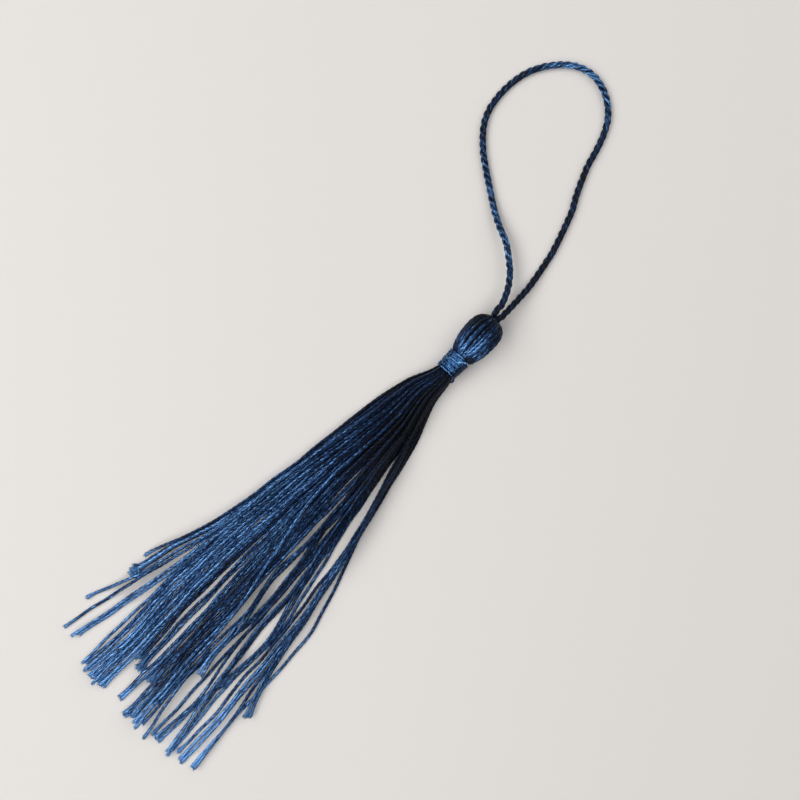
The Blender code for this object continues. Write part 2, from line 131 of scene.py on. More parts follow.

# How light the yarn looks. Down the skirt this is painted shade and light: drawn dark near the neck, where
# the packed yarns lie in shade, and lighter further down, as if the loosened yarns caught more light.
SKIRT_PAINTED_SHADING = (  # distance down, tone
    (0.0, -0.34), (12.0, -0.29), (20.0, -0.20), (30.0, -0.03), (44.0, 0.02), (62.0, 0.05),
    (72.0, 0.12), (79.0, 0.14),
)
# Painted light on the skirt's left side, which faces the window, and painted shade on its right side, fading
# out down the skirt.
SIDE_PAINTED_SHADING = (  # place across, tone
    (-6.8, -0.05), (-6.4, 0.05), (-6.1, 0.10), (-3.0, 0.06), (-1.0, 0.0), (1.0, -0.08), (4.0, -0.10),
    (8.0, -0.11), (9.0, -0.18),
)
SIDES_EVEN = (42.0, 78.0)  # the skirt's two sides grow alike over this stretch
BRIGHT_LOCK = "crossing"  # one yarn that lies alone across the others
# Painted light: the yarn lying on top is drawn lighter, as if it caught more light, down to where this fades
# out.
TOP_YARN_PAINTED_LIGHT = 0.14
BRIGHT_YARN_FADES = (36.0, 50.0)
YARN_TONES = 0.14  # how far single yarns differ, either way
YARN_TONE_SHARES = (0.45, 0.55)  # of that, what shows already in the neck, and what comes further down
YARNS_DIFFER = (20.0, 50.0)
LOCKS_DIFFER = (34.0, 54.0)  # each lock catches the light in its own way from here down
# Painted light and shade for each lock, for how it catches the light.
LOCK_PAINTED_SHADING = {
    "edge_short": -0.10, "edge_tuft": -0.06, "outer_left": -0.06, "long_left": -0.10,
    "split_left": -0.05, "left_guard": -0.08, "notch_left": -0.10, "notch_middle": -0.14,
    "pair": -0.04, "notch_right": -0.12, "centre": -0.08, "centre_right": -0.06, "hidden": -0.16,
    "single": -0.06, "short_right": 0.03, "turning_back": 0.06, "slender": -0.05, "leaning": 0.05,
    "sweeping": 0.04, "returning": 0.05, "joining": 0.04, "inner_right": -0.05, "outer_right": 0.06,
    "under_right": 0.06, "flick_right": -0.08, "edge_right": 0.03,
}
# Painted light on the head's lower half, which faces the window, and painted shade over its top.
HEAD_PAINTED_SHADING = (  # y, tone
    (2.0, -0.05), (4.0, 0.02), (6.0, 0.0), (8.0, -0.10), (10.0, -0.24), (12.0, -0.36),
)
HEAD_YARN_TONES = 0.09
HEAD_FRONT_PAINTED_LIGHT = 0.08
# Painted shade on a round form's sides: it is drawn darker from one share of its half-width to another, by
# the third figure.
HEAD_LEFT = (0.1, 0.9, 0.30)
HEAD_RIGHT = (0.2, 0.9, 0.14)
# Painted shade on the head's lower right, in the dark gap next to the binding.
HEAD_LOWER_RIGHT = (0.25, 0.45, 0.30)
HEAD_LOWER_ENDS = (4.4, 5.3)  # y
# Painted shade on the binding's sides, most on its right, and painted light on its front.
BINDING_LEFT = (0.3, 0.8, 0.14)
BINDING_RIGHT = (0.35, 0.80, 0.30)
BINDING_FRONT_PAINTED_LIGHT = 0.10
# Painted light and shade along the cord: lighter along the first leg and round the middle of the loop, where
# the window's light catches it, and near black elsewhere.
CORD_PAINTED_SHADING = (  # share of the cord's length, tone
    (0.0, -0.28), (0.07, -0.16), (0.13, -0.07), (0.18, -0.09), (0.27, -0.16), (0.32, -0.23),
    (0.42, -0.25), (0.47, -0.06), (0.51, 0.01), (0.56, -0.02), (0.60, -0.09), (0.66, -0.24),
    (0.72, -0.30), (1.0, -0.30),
)
CORD_STRAND_TONE = 0.05  # each strand is this much lighter than the last

# The bundle's axis slopes down from the fat head to the flat skirt.
AXIS_LOW = (-0.9, 2.0)  # y, height
AXIS_HIGH = (8.8, 2.9)

# Skirt: sizes and places at distances down from the neck.
STRAND_SIZES = (  # distance down, width, height
    (5.0, 0.42, 0.38),
    (13.0, 0.52, 0.40),
    (44.0, 0.54, 0.50),
)
STRAND_GAP = 0.05
STATIONS = (5.0, 8.5, 12.5, 17.0, 22.0, 27.5, 33.0, 38.5, 44.0, 49.5, 55.0, 60.5, 66.0, 71.5)
TIP_CLEARANCE = 1.5
SHOULDERS = ((5.0, -0.5, 3.15), (12.0, 0.05, 5.35))  # distance down, middle, half the width
SKIRT_MIDDLE_HEIGHT = 1.7
WAYPOINTS = (28.0, 44.0, 52.0, 60.0, 68.0)
YARN_SPREAD = (0.34, 0.48, 0.51, 0.54, 0.57, 0.60)
YARN_STRAY = (0.08, 0.05, 0.05, 0.06, 0.07, 0.06)
TIP_STRAY = 0.5
LEVEL_STRAY = 0.9
TANGLE_SEED = 1
LEVEL_WITH = 1e-9
LONGEST_END = 78.7
ROOTS = ((-2.2, 0.36, 0.50), (1.0, 0.60, 0.80))  # distance down, then how much the bundle is drawn in
SKIRT_SEED = 21
SKIRT_PIECES = ("skirt_left", "skirt_middle", "skirt_right")
YARN_SNUG = (  # distance down, how thick the yarn is there, next to where it is let go
    (-1.0, 0.62), (1.0, 0.80), (5.0, 0.90), (13.0, 0.97), (40.0, 1.0),
)
YARN_WAVES = ((0.06, 13.0), (0.035, 7.0))  # size and length of the little waves that folding left
WAVE_LENGTHS = (0.75, 1.25)
WAVES_GROW = (4.0, 20.0)
WAVE_LIFT = (0.35, 1.3)  # a wave's height and rate, next to the same wave seen from above
TIP_PALENESS = (0.15, 0.50)
TIP_PALES_OVER = 4.0
TIP_OPENS_OVER = 2.0
TIP_OPENS = 0.20  # how much wider its plies stand at a neat cut
TUFT_OPENS = 0.50  # and how much more in a tuft

Lock = namedtuple("Lock", "name yarns x_28 x_44 x_52 x_60 x_68 tip_x tip_down level")

LOCKS = (
    Lock("edge_short", 1, -6.8, -9.5, -12.25, None, None, -13.8, 56.7, 1),
    Lock("edge_tuft", 1, -6.7, -9.3, -11.6, None, None, -13.6, 60.0, 0),
    Lock("edge_clump", 1, -6.5, -9.0, -11.35, None, None, -13.3, 60.5, 1),
    Lock("edge_tangle", 1, -6.4, -8.8, -11.1, None, None, -12.95, 60.1, 0),
    Lock("outer_left", 1, -6.2, -8.4, -10.3, -12.35, None, -15.7, 68.4, 2),
    Lock("long_left", 1, -6.0, -8.1, -9.8, -11.75, -13.5, -14.8, 74.6, 2),
    Lock("split_left", 2, -5.8, -7.7, -8.5, -9.8, -11.3, -12.6, 74.3, 2),
    Lock("left_guard", 1, -5.6, -7.5, -8.0, -8.2, -8.4, -8.5, 76.6, 1),
    Lock("broad_left", 5, -4.9, -6.4, -6.6, -6.6, -6.2, -6.8, 76.8, 1),
    Lock("broad_middle", 5, -3.3, -4.4, -4.6, -4.4, -4.3, -4.3, 77.4, 1),
    Lock("notch_left", 3, -2.5, -3.0, -3.3, -3.2, None, -2.6, 69.2, 0),
    Lock("notch_middle", 2, -1.6, -1.65, -1.5, -1.45, -1.2, -1.0, 70.4, 0),
    Lock("pair", 2, -0.9, -0.6, -0.15, 0.3, 0.3, 0.2, 76.5, 2),
    Lock("notch_right", 3, -0.3, 0.6, 0.9, 1.25, 1.4, 1.5, 70.8, 0),
    Lock("centre", 3, 0.6, 1.8, 2.1, 2.4, 2.8, 3.0, 77.6, 1),
    Lock("crossing", 1, -0.9, 1.9, 3.5, 4.1, 4.6, 5.4, 77.4, 3),
    Lock("centre_right", 2, 2.25, 2.6, 3.0, 3.3, 3.7, 4.3, 77.3, 1),
    Lock("hidden", 2, 1.4, 2.6, 3.2, 3.8, 4.4, 4.8, 73.0, 0),
    Lock("single", 1, 3.3, 4.1, 4.85, 4.9, 5.8, 7.6, 78.5, 2),
    Lock("short_right", 2, 4.2, 3.9, 5.5, 6.0, None, 6.8, 64.2, 2),
    Lock("turning_back", 2, 3.6, 6.2, 6.4, 5.7, 5.2, 5.5, 77.2, 1),
    Lock("slender", 1, 4.8, 6.7, 7.35, 7.5, 7.9, 8.3, 76.9, 1),
    Lock("leaning", 1, 5.1, 6.9, 7.1, 8.3, 9.4, 8.9, 76.6, 2),
    Lock("sweeping", 2, 5.2, 8.1, 8.4, 9.5, 10.7, 12.2, 77.2, 2),
    Lock("returning", 2, 5.7, 8.9, 10.9, 10.7, 9.8, 9.5, 77.2, 1),
    Lock("joining", 1, 6.4, 10.0, 11.4, 11.2, 11.8, 12.5, 76.2, 1),
    Lock("inner_right", 1, 8.45, 10.9, 11.9, 12.4, 13.3, 13.3, 76.0, 1),
    Lock("outer_right", 2, 8.5, 12.0, 12.9, 13.6, 14.4, 14.6, 76.4, 1),
    Lock("under_right", 1, 8.7, 12.5, 13.6, 14.8, 16.1, 17.2, 76.0, 0),
    Lock("flick_right", 2, 8.75, 12.3, 13.8, 15.9, None, 17.25, 63.5, 3),
    Lock("edge_right", 1, 9.0, 14.4, 15.5, 15.8, 16.1, 16.7, 76.1, 1),
)

# Binding: fine two-ply thread wound round the neck.
BINDING_SEED = 5
BINDING_TURNS = 9.4
BINDING_STARTS = 0.35 * math.pi
BINDING_TOP = (3.62, 2.16)  # y, radius over the thread
BINDING_BOTTOM = (0.38, 1.96)
BINDING_MIDDLE_RADIUS = 2.0
BINDING_LAY = 1.5
BINDING_PLY_RADIUS = 0.115
BINDING_PLY_OFFSET = 0.085
BINDING_PLY_SIDES = 7
BINDING_PLY_TONES = (-0.06, 0.02)
BINDING_STEP = 0.15
BINDING_DRIFTS = ((0.035, 1.7, 1.0), (0.03, 0.63, 0.0))  # size, rate and start: no turn lies quite even
UNDER_THREAD = 0.88  # a plain layer fills the binding from within, at this share of its radius
UNDER_THREAD_RADIUS = 0.2
UNDER_THREAD_SIDES = 6
THREAD_ENDS = (  # across, y, height over the axis: one is tucked under the top turns, one lies loose
    ((0.15, 2.45, 1.85), (0.50, 2.80, 2.09), (0.90, 3.15, 1.98), (1.30, 3.45, 1.72), (1.60, 3.70, 1.25)),
    ((1.55, 0.60, 0.95), (1.82, 0.30, 0.70), (1.98, -0.02, 0.50), (1.96, -0.26, 0.35), (1.80, -0.42, 0.20)),
)
# A painted highlight on the tucked end, and painted shade on the loose end.
THREAD_END_PAINTED_SHADING = (0.36, -0.20)

# Hanging cord: three lengths of the yarn, S-laid.
CORD_STRANDS = 3
CORD_LAY = 3.9
CORD_STEP = 0.26
CORD_STRAND_OFFSET = 0.295
CORD_STRAND_PHASE = 1.3  # how much further round each strand's plies start
CORD_YARN_SIZE = 1.06  # next to the skirt's
CORD_INSIDE = ((-0.55, 11.9, 3.05), (0.0, 11.9, 3.1))  # where its two ends are held under the fold
ROUTE_POINTS = 24  # from each given point of a route to the next

# The cord's route from one side of the head's top to the other: x, y and height.
LOOP_ROUTE = (
    (-1.15, 13.05, 3.25), (-1.20, 14.0, 3.15), (-1.32, 14.8, 2.98), (-1.89, 16.2, 2.60), (-2.70, 17.7, 2.25),
    (-4.05, 19.4, 2.00), (-5.80, 20.9, 1.85), (-8.0, 22.5, 1.65), (-10.3, 23.5, 1.35), (-12.8, 24.8, 0.95),
    (-15.1, 26.3, 0.66), (-19.7, 29.4, 0.56), (-22.0, 31.2, 0.56), (-24.1, 33.4, 0.56), (-25.4, 35.6, 0.56),
    (-26.1, 38.4, 0.56), (-26.2, 41.6, 0.56), (-25.7, 44.7, 0.56), (-24.6, 47.3, 0.56), (-22.8, 49.8, 0.56),
    (-20.7, 51.6, 0.56), (-18.4, 52.5, 0.56), (-16.1, 52.5, 0.56), (-13.9, 51.8, 0.56), (-12.0, 50.6, 0.56),
    (-10.4, 48.9, 0.56), (-9.1, 46.5, 0.56), (-8.1, 43.6, 0.56), (-7.3, 40.9, 0.56), (-5.3, 36.5, 0.56),
    (-4.1, 34.4, 0.56), (-3.1, 31.9, 0.56), (-1.5, 27.3, 0.56), (-0.9, 24.6, 0.62), (-0.4, 22.0, 0.85),
    (-0.05, 19.5, 1.30), (0.08, 17.0, 1.95), (0.14, 14.7, 2.85), (0.15, 13.7, 3.20), (0.15, 13.05, 3.28),
)

# Thread's look. Its fibres are 0.02 mm thick, too fine to show, so that the streaks are drawn coarser,
# as bundles 0.15 mm wide and 2 mm long.
STREAKS_PER_MM = (0.5, 6.5, 1.0)
STREAK_DETAIL = 2.0
STREAK_BREAK_UP = 0.6
STREAK_CONTRAST = 1.30
STREAK_DULLNESS = 0.12
STREAK_BUMP = 0.6
STREAK_RELIEF = 0.03 * MM
# The dye takes unevenly along a yarn, in patches some 6 mm long.
DYE_PATCHES_PER_M = 160.0
DYE_DETAIL = 2.0
DYE_CONTRAST = 0.20
SHADE_STOPS = (0.45, 0.73, 1.0)  # where the dark, the middle and the light colour stand

# Surface and lights, in metres and watts.
FLOOR_RADIUS = 0.6
FLOOR_SIDES = 96
FLOOR_COLOUR = "#e7e4e1"
FLOOR_ROUGHNESS = 0.8
ROOM_COLOUR = "#f4f2f0"
ROOM_LIGHTS = 0.06  # how strongly the room past the floor lights the tassel
ROOM_LOOKS = 0.68  # and how bright it looks
LIGHTS = (  # name, place, width, height, power, tint
    ("window", (-0.20, -0.265, 0.42), 0.95, 0.38, 2.9, "#fffdfa"),
    ("ceiling", (0.0, 0.0, 1.0), 1.6, 1.6, 3.8, "#f8faff"),
    ("far_wall", (0.05, 0.60, 0.50), 0.80, 0.60, 2.3, "#fcfaf8"),
)
LIGHTS_AIM = (0.0, 0.0, 0.0)

binding_low, binding_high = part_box("neck_binding")
yarns_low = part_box("tassel_yarns")[0]
TASSEL_ORIGIN = np.array((
    0.5 * (binding_low.x + binding_high.x), yarns_low.y + LONGEST_END * MM, 0.0,
))


def to_model(points):
    """Points of the tassel's own frame, in mm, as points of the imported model, in metres."""
    return np.asarray(points) * MM + TASSEL_ORIGIN


def blend(low, high, share):
    """0 up to low, 1 from high, and a soft step between."""
    share = np.clip((share - low) / (high - low), 0.0, 1.0)
    return share * share * (3.0 - 2.0 * share)


def read_off(table, place):
    """The value that a table of (place, value) rows gives for a place, straight between its rows."""
    return np.interp(place, *zip(*table))


def painted_side_shade(side, share):
    """The painted shade on a round form's side: how much darker it is drawn at a share of its half-width."""
    low, high, amount = side
    return amount * blend(low, high, share)


# Lines to follow, and the tubes that follow them

def lengths_along(path):
    """How far along a path each of its points lies."""
    steps = np.linalg.norm(np.diff(path, axis=0), axis=1)
    return np.concatenate(((0.0,), np.cumsum(steps)))


def directions(path):
    """Two directions across a path at each of its points, which never spin round it."""
    ahead = np.gradient(path, axis=0)
    ahead /= np.linalg.norm(ahead, axis=1)[:, None]
    side = np.cross(ahead[0], UP)
    sides = np.empty_like(path)
    for k, way in enumerate(ahead):
        side = side - way * side.dot(way)
        side /= np.linalg.norm(side)
        sides[k] = side
    return sides, np.cross(ahead, sides)


def wind(path, offset, lay, phase, twist):
    """A line wound round a path, one turn for each lay."""
    sides, ups = directions(path)
    turn = phase + twist * TURN * lengths_along(path) / lay
    offset = np.broadcast_to(offset, turn.shape)
    return path + (offset * np.cos(turn))[:, None] * sides + (offset * np.sin(turn))[:, None] * ups


class Skein:
    """Tubes gathered into one piece, each with its tone, its paleness and a thread map in mm."""

    def __init__(self):
        self.places = []
        self.faces = []
        self.maps = []
        self.tones = []
        self.ends = []
        self.count = 0

    def add(self, path, radius, sides, tone, end=0.0):
        """One tube along a path, closed by a cap at each end. Its paleness, end, is 0 away from a cut."""
        across, up = directions(path)
        radius = np.broadcast_to(radius, (len(path),))
        angles = TURN * np.arange(sides) / sides
        rings = (
            path[:, None, :]
            + radius[:, None, None] * np.cos(angles)[None, :, None] * across[:, None, :]
            + radius[:, None, None] * np.sin(angles)[None, :, None] * up[:, None, :]
        )
        self.places.append(rings.reshape(-1, 3))
        numbers = self.count + np.arange(len(path) * sides).reshape(len(path), sides)
        after = np.roll(numbers, -1, axis=1)
        quads = np.stack((numbers[:-1], after[:-1], after[1:], numbers[1:]), axis=-1).reshape(-1, 4)
        self.faces += [quads, numbers[:1, ::-1], numbers[-1:]]
        along = lengths_along(path)
        girth = TURN * radius.max()
        around = girth * np.arange(sides) / sides
        shift = np.broadcast_to(around, (len(path) - 1, sides))
        start = STREAKS_SHIFT * len(self.places)
        near = start + np.broadcast_to(along[:-1, None], shift.shape)
        far = start + np.broadcast_to(along[1:, None], shift.shape)
        step = girth / sides
        corners = np.stack((
            np.stack((near, shift + FIBRE_LEAN * near), axis=-1),
            np.stack((near, shift + step + FIBRE_LEAN * near), axis=-1),
            np.stack((far, shift + step + FIBRE_LEAN * far), axis=-1),
            np.stack((far, shift + FIBRE_LEAN * far), axis=-1),
        ), axis=2)
        cap = np.stack((np.zeros(sides), around), axis=-1)
        self.maps += [corners.reshape(-1, 2), cap, cap]
        self.tones.append(np.broadcast_to(tone, (len(path),)).repeat(sides))
        self.ends.append(np.broadcast_to(end, (len(path),)).repeat(sides))
        self.count += len(path) * sides

    def make(self, name, material, node, slot):
        """Make the gathered tubes one piece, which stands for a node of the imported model."""
        mesh = bpy.data.meshes.new(name)
        faces = [face for group in self.faces for face in group.tolist()]
        mesh.from_pydata(to_model(np.concatenate(self.places)).tolist(), [], faces)
        thread_map = mesh.uv_layers.new(name="thread")
        thread_map.data.foreach_set("uv", np.concatenate(self.maps).astype(np.float32).ravel())
        for title, values in (("tone", self.tones), ("cut_end", self.ends)):
            layer = mesh.attributes.new(title, "FLOAT", "POINT")
            layer.data.foreach_set("value", np.concatenate(values).astype(np.float32))
        mesh.shade_smooth()
        mesh.materials.append(material)
        piece = bpy.data.objects.new(name, mesh)
        bpy.context.scene.collection.objects.link(piece)
        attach(piece, "root")
        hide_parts(node)
        return piece


def add_yarn(skein, path, phase, tone, snug=1.0, opened=1.0, end=0.0):
    """The plies wound round a yarn's path; returns them, to put fibres on their ends."""
    plies = []
    for ply in range(PLIES):
        ply_phase = phase + TURN * ply / PLIES
        line = wind(path, PLY_OFFSET * snug * opened, YARN_LAY, ply_phase, TWIST_Z)
        radius = np.broadcast_to(PLY_RADIUS * snug, (len(line),)).copy()
        radius[-1] *= PLY_TIP
        line[:, 2] = np.maximum(line[:, 2], radius)
        skein.add(line, radius, PLY_SIDES, tone, end)
        plies.append(line)
    return plies


# Materials

def colour(hex_code):
    """A linear colour from its sRGB hex code."""
    channels = [int(hex_code[k:k + 2], 16) / 255.0 for k in (1, 3, 5)]
    linear = [c / 12.92 if c <= 0.04045 else ((c + 0.055) / 1.055) ** 2.4 for c in channels]
    return (*linear, 1.0)


def add_node(tree, kind, settings, inputs):
    """Add a node with its settings; each input is a value or the output that it is linked to."""
    node = tree.nodes.new(kind)
    for name, value in settings.items():
        setattr(node, name, value)
    for name, value in inputs.items():
        if isinstance(value, bpy.types.NodeSocket):
            tree.links.new(value, node.inputs[name])
        else:
            node.inputs[name].default_value = value
    return node


# Viscose is no metal, but its filaments are smooth and clear, so that it sends light back in the
# dye's own colour, in streaks drawn out across the ply.
VISCOSE_FINISH = {
    "Metallic": 0.90,
    "Anisotropic": 0.7,
    "Anisotropic Rotation": 0.25,
    "IOR": 1.53,
    "Sheen Weight": 0.12,
    "Sheen Roughness": 0.35,
    "Sheen Tint": colour("#9fc0ea"),
}


def twisted_thread(name, dark, middle, light, roughness):
    """Plied viscose, spun and dyed: the fibres lie along each ply, so it shines in short streaks."""
    material = bpy.data.materials.new(name)
    material.use_nodes = True
    tree = material.node_tree
    shader = tree.nodes["Principled BSDF"]
    thread = add_node(tree, "ShaderNodeUVMap", {"uv_map": "thread"}, {}).outputs["UV"]
    stretched = add_node(
        tree, "ShaderNodeMapping", {}, {"Vector": thread, "Scale": STREAKS_PER_MM},
    ).outputs["Vector"]
    streaks = add_node(
        tree, "ShaderNodeTexNoise", {"noise_dimensions": "2D"},
        {"Vector": stretched, "Scale": 1.0, "Detail": STREAK_DETAIL, "Roughness": STREAK_BREAK_UP},
    ).outputs["Fac"]
    tone = add_node(tree, "ShaderNodeAttribute", {"attribute_name": "tone"}, {}).outputs["Fac"]
    place = add_node(tree, "ShaderNodeTexCoord", {}, {}).outputs["Object"]
    dye = add_node(
        tree, "ShaderNodeTexNoise", {},
        {"Vector": place, "Scale": DYE_PATCHES_PER_M, "Detail": DYE_DETAIL},
    ).outputs["Fac"]
    shade = tone
    for pattern, contrast in ((streaks, STREAK_CONTRAST), (dye, DYE_CONTRAST)):
        shade = add_node(
            tree, "ShaderNodeMath", {"operation": "MULTIPLY_ADD"}, {0: pattern, 1: contrast, 2: shade},
        ).outputs["Value"]
    ramp = add_node(tree, "ShaderNodeValToRGB", {}, {"Fac": shade})
    stops = ramp.color_ramp.elements
    stops[0].position, stops[1].position = SHADE_STOPS[0], SHADE_STOPS[2]
    stops[0].color, stops[1].color = colour(dark), colour(light)
    stops.new(SHADE_STOPS[1]).color = colour(middle)
    cut = add_node(tree, "ShaderNodeAttribute", {"attribute_name": "cut_end"}, {}).outputs["Fac"]
    faded = add_node(
        tree, "ShaderNodeMix", {"data_type": "RGBA"},
        {0: cut, 6: ramp.outputs["Color"], 7: colour(light)},
    ).outputs[2]
    tree.links.new(faded, shader.inputs["Base Color"])
    dulled = add_node(
        tree, "ShaderNodeMath", {"operation": "MULTIPLY_ADD"},
        {0: streaks, 1: STREAK_DULLNESS, 2: roughness},
    ).outputs["Value"]
    tree.links.new(dulled, shader.inputs["Roughness"])
    bump = add_node(
        tree, "ShaderNodeBump", {},
        {"Strength": STREAK_BUMP, "Distance": STREAK_RELIEF, "Height": streaks},
    ).outputs["Normal"]
    tree.links.new(bump, shader.inputs["Normal"])
    tangent = add_node(
        tree, "ShaderNodeTangent", {"direction_type": "UV_MAP", "uv_map": "thread"}, {},
    ).outputs["Tangent"]
    tree.links.new(tangent, shader.inputs["Tangent"])
    for socket, value in VISCOSE_FINISH.items():
        shader.inputs[socket].default_value = value
    return material


# Camera

def set_camera():
    """The photo's view, from straight above."""
    data = bpy.data.cameras.new("photo_view")
    data.lens = LENS
    data.sensor_width = SENSOR
    data.clip_start = NEAREST_SEEN
    camera = bpy.data.objects.new("photo_view", data)
    bpy.context.scene.collection.objects.link(camera)
    turn = Matrix((RIGHT_IN_PHOTO, UP_IN_PHOTO, Vector(UP))).transposed()
    camera.matrix_world = turn.to_4x4()
    camera.location = to_model((*PHOTO_CENTRE, PHOTO_WIDTH * LENS / SENSOR))
    bpy.context.scene.camera = camera


# Hanging cord

def smooth_route(points, step):
    """Points a step apart on a smooth curve through the given ones."""
    points = np.array(points)
    padded = np.vstack((2 * points[0] - points[1], points, 2 * points[-1] - points[-2]))
    t = np.arange(ROUTE_POINTS)[:, None] / ROUTE_POINTS
    fine = [
        0.5 * (
            2 * start
            + (end - before) * t
            + (2 * before - 5 * start + 4 * end - after) * t ** 2
            + (3 * start - before - 3 * end + after) * t ** 3
        )
        for before, start, end, after in zip(padded, padded[1:], padded[2:], padded[3:])
    ]
    fine = np.vstack((*fine, points[-1:]))
    lengths = lengths_along(fine)
    wanted = np.linspace(0.0, lengths[-1], round(lengths[-1] / step) + 1)
    return np.stack([np.interp(wanted, lengths, fine[:, axis]) for axis in range(3)], axis=-1)


def make_hanging_cord(material):
    """The laid cord, from under the fold round its loop and back."""
    route = smooth_route((CORD_INSIDE[0], *LOOP_ROUTE, CORD_INSIDE[1]), CORD_STEP)
    cord = Skein()
    for strand in range(CORD_STRANDS):
        line = wind(route, CORD_STRAND_OFFSET, CORD_LAY, TURN * strand / CORD_STRANDS, TWIST_S)
        # painted light and shade along the cord
        tone = CORD_STRAND_TONE * strand + read_off(CORD_PAINTED_SHADING, np.linspace(0.0, 1.0, len(line)))
        add_yarn(cord, line, CORD_STRAND_PHASE * strand, tone, snug=CORD_YARN_SIZE)
    piece = cord.make("hanging_cord", material, "hanging_loop", "loop_cord")


# Skirt

class Strand:
    """One cut end: its middle line at the stations down to its tip, and how its yarn looks."""

    def __init__(self, waypoints, tip_x, tip_down, level):
        self.waypoints = waypoints
        self.tip_x = tip_x
        self.tip_down = tip_down
        self.level = level
        self.bright = False
        self.tone = 0.0
        self.fray = 0.0
        self.downs = [down for down in STATIONS if down < tip_down - TIP_CLEARANCE] + [tip_down]
        self.across = []
        self.heights = []
        self.knots = []

    def at(self, values, down):
        """The value at a distance down, straight between the stations."""
        for k in range(len(self.downs) - 1):
            if down <= self.downs[k + 1] + LEVEL_WITH:
                share = (down - self.downs[k]) / (self.downs[k + 1] - self.downs[k])
                return values[k] + (values[k + 1] - values[k]) * share
        return values[-1]


def strand_size(down):
    """A strand's width and height at a distance below the neck."""
    downs, widths, heights = zip(*STRAND_SIZES)
    return float(np.interp(down, downs, widths)), float(np.interp(down, downs, heights))


def round_bundle_place(share):
    """Where a yarn lies across a round bundle, -1 to 1, when this share of the yarns is left of it."""
    low, high = -1.0, 1.0
    halvings = 30
    for _ in range(halvings):
        middle = 0.5 * (low + high)
        left = 0.5 + (middle * math.sqrt(1.0 - middle * middle) + math.asin(middle)) / math.pi
        if left < share:
            low = middle
        else:
            high = middle
    return middle


def smooth_value(knots, down):
    """A smooth curve through (down, value) knots."""
    last = len(knots) - 2
    k = 0
    while k < last and down > knots[k + 1][0]:
        k += 1
    (d_0, v_0), (d_1, v_1) = knots[k], knots[k + 1]
    span = d_1 - d_0
    slope = (v_1 - v_0) / span
    before = knots[k - 1] if k > 0 else None
    after = knots[k + 2] if k < last else None
    slope_in = (v_1 - before[1]) / (d_1 - before[0]) if before else slope
    slope_out = (after[1] - v_0) / (after[0] - d_0) if after else slope
    t = (down - d_0) / span
    return (
        v_0 * (2 * t ** 3 - 3 * t ** 2 + 1)
        + v_1 * (3 * t ** 2 - 2 * t ** 3)
        + span * slope_in * (t ** 3 - 2 * t ** 2 + t)
        + span * slope_out * (t ** 3 - t ** 2)
    )


def fan_out():
    """Every strand's path as seen from above."""
    chance = random.Random(TANGLE_SEED)
    fray_chance = random.Random(FRAY_SEED)
    strands = []
    for lock in LOCKS:
        middles = (lock.x_28, lock.x_44, lock.x_52, lock.x_60, lock.x_68, lock.tip_x)
        for k in range(lock.yarns):
            place = k - 0.5 * (lock.yarns - 1)
            across = []
            for middle, spread, stray in zip(middles, YARN_SPREAD, YARN_STRAY):
                offset = place * spread + chance.uniform(-stray, stray)
                across.append(None if middle is None else middle + offset)
            waypoints = [(down, x) for down, x in zip(WAYPOINTS, across) if x is not None]
            tip_down = lock.tip_down
            if lock.yarns > 1:
                tip_down += chance.uniform(-TIP_STRAY, TIP_STRAY)
            level = lock.level + chance.uniform(-LEVEL_STRAY, LEVEL_STRAY)
            strand = Strand(waypoints, across[-1], tip_down, level)
            strand.bright = lock.name == BRIGHT_LOCK
            # each lock's painted light and shade
            strand.tone = LOCK_PAINTED_SHADING.get(lock.name, 0.0)
            strand.fray = FRAYED_LOCKS.get(lock.name, fray_chance.uniform(*END_FRAYS))
            strands.append(strand)
    strands.sort(key=lambda strand: strand.waypoints[0][1])
    for rank, strand in enumerate(strands):
        place = round_bundle_place((rank + 0.5) / len(strands))
        shoulders = [(down, middle + half_width * place) for down, middle, half_width in SHOULDERS]
        strand.knots = shoulders + strand.waypoints + [(strand.tip_down, strand.tip_x)]
        strand.across = [smooth_value(strand.knots, down) for down in strand.downs]
    return strands


def crowded_stretches(one, other):
    """The stretches, as (start, end) below the neck, where two strands would share the same place."""
    end = min(one.tip_down, other.tip_down)
    downs = [down for down in STATIONS if down < end - LEVEL_WITH] + [end]
    stretches = []
    for start, stop in zip(downs, downs[1:]):
        apart = [one.at(one.across, down) - other.at(other.across, down) for down in (start, stop)]
        room = [abs(distance) - strand_size(down)[0] for distance, down in zip(apart, (start, stop))]
        if apart[0] * apart[1] < 0.0 or min(room) < STRAND_GAP:
            stretches.append((start, stop))
    return stretches


def lay_down(strands):
    """Give each strand the lowest layer free of its neighbours, then let it sink onto those below it."""
    count = len(strands)
    crowding = {}
    for i in range(count):
        for j in range(i):
            crowding[i, j] = crowding[j, i] = crowded_stretches(strands[i], strands[j])
    layers = {}
    for i in sorted(range(count), key=lambda index: strands[index].level):
        taken = {layers[j] for j in layers if crowding[i, j]}
        layers[i] = next(layer for layer in range(count) if layer not in taken)
    laid = []
    for i in sorted(layers, key=lambda index: (layers[index], index)):
        strand = strands[i]
        strand.heights = [0.5 * strand_size(down)[1] for down in strand.downs]
        for j in laid:
            for stretch in crowding[i, j]:
                rest_on(strand, strands[j], stretch)
        laid.append(i)


def rest_on(strand, below, stretch):
    """Lift a strand's stations over a stretch so that it clears the strand below it."""
    for down in stretch:
        needed = below.at(below.heights, down) + strand_size(down)[1] + STRAND_GAP
        for k, station in enumerate(strand.downs):
            level_with = abs(station - down) < LEVEL_WITH
            above = station < down < strand.downs[min(k + 1, len(strand.downs) - 1)]
            beneath = strand.downs[max(k - 1, 0)] < down < station
            if level_with or above or beneath:
                strand.heights[k] = max(strand.heights[k], needed)


def axis_height(y):
    """How high the bundle's axis lies over the surface."""
    slope = (AXIS_HIGH[1] - AXIS_LOW[1]) / (AXIS_HIGH[0] - AXIS_LOW[0])
    return AXIS_LOW[1] + slope * (y - AXIS_LOW[0])


